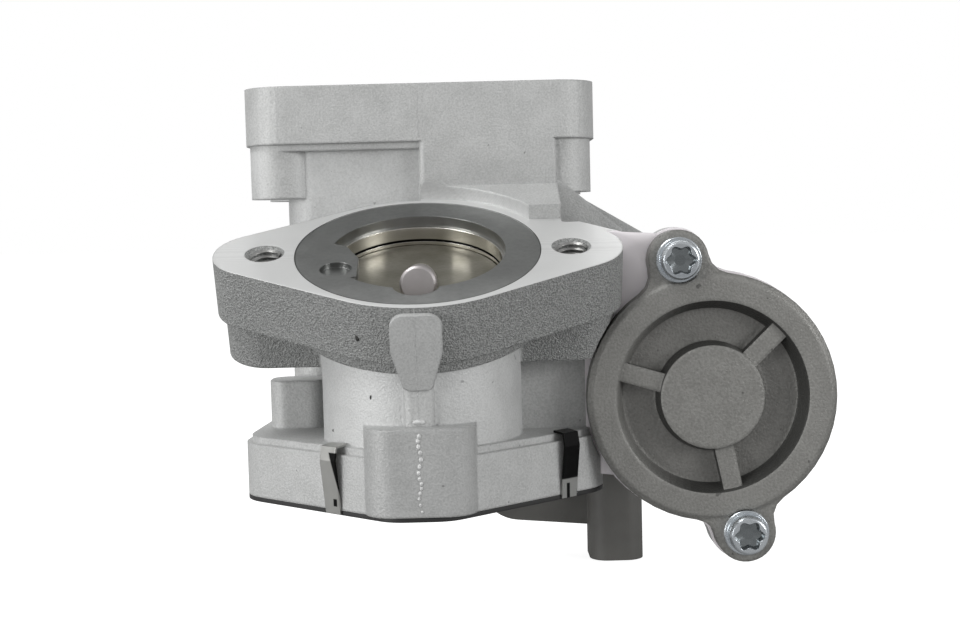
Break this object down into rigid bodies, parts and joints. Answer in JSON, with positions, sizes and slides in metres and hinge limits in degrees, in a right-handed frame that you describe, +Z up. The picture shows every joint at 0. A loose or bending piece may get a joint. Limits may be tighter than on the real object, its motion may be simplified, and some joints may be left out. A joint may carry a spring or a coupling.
{
  "type": "throttle body",
  "caption": "Motor-driven throttle body: cast aluminium housing with a tilted two-bolt port, an oblique-shaft flap, a geared motor and a gear cover.",
  "frame": {"origin": "centre of the outlet bore in the bottom flange's face", "axes": "+Z up the outlet bore, +Y from the motor cap to the gear cover, +X towards the motor"},
  "size_m": [0.138, 0.1362, 0.1282],
  "materials": {
    "cast_aluminium": "sand-textured die-cast aluminium",
    "machined_steel": "turned and ground steel",
    "polished_steel": "polished bore",
    "tinted_steel": "heat-tinted steel",
    "shaft_steel": "ground steel",
    "bronze": "sintered bronze",
    "seal_rubber": "moulded rubber",
    "gear_plastic": "moulded gear plastic",
    "magnet": "sintered magnet",
    "zinc_steel": "zinc-plated steel",
    "dark_cast": "dark die-cast metal",
    "black_plastic": "glass-filled black plastic",
    "gasket_black": "coated gasket sheet",
    "spring_steel": "spring steel strip"
  },
  "bodies": {
    "body": {"housing": "cast_aluminium", "seat_ring": "machined_steel", "bore_sleeve": "polished_steel", "inner_bushing": "bronze", "outer_bushing": "bronze", "shaft_seal": "seal_rubber", "idler_pin": "zinc_steel", "motor_can": "zinc_steel", "wave_washer": "zinc_steel", "cap_gasket": "seal_rubber", "motor_cap": "dark_cast", "cap_screws": "zinc_steel", "cover_gasket": "seal_rubber", "gear_cover": "black_plastic", "connector_pins": "bronze", "cover_screws": "zinc_steel", "base_gasket": "gasket_black", "gasket_clips": "spring_steel"},
    "flap": {"throttle_disc": "tinted_steel", "throttle_shaft": "shaft_steel", "sector_gear": "gear_plastic", "sensor_magnet": "magnet"},
    "idler": {"idler_gear": "gear_plastic"},
    "rotor": {"motor_shaft": "shaft_steel", "motor_pinion": "bronze"}
  },
  "joints": [
    {"name": "flap_turn", "type": "hinge", "parent": "body", "child": "flap", "pos_m": [0, -0.01, 0.0465], "axis": [0, -1, 0], "range_deg": [0, 80]},
    {"name": "idler_turn", "type": "hinge", "parent": "body", "child": "idler", "pos_m": [0.03323, 0.07, 0.02706], "axis": [0, -1, 0], "range_deg": [-340, 0]},
    {"name": "motor_turn", "type": "hinge", "parent": "body", "child": "rotor", "pos_m": [0.0636, 0.07, 0.0199], "axis": [0, -1, 0], "range_deg": [0, 1830]}
  ],
  "couplings": [
    {"joint": "idler_turn", "follows": "flap_turn", "ratio": -4.1333},
    {"joint": "motor_turn", "follows": "flap_turn", "ratio": 22.733}
  ]
}
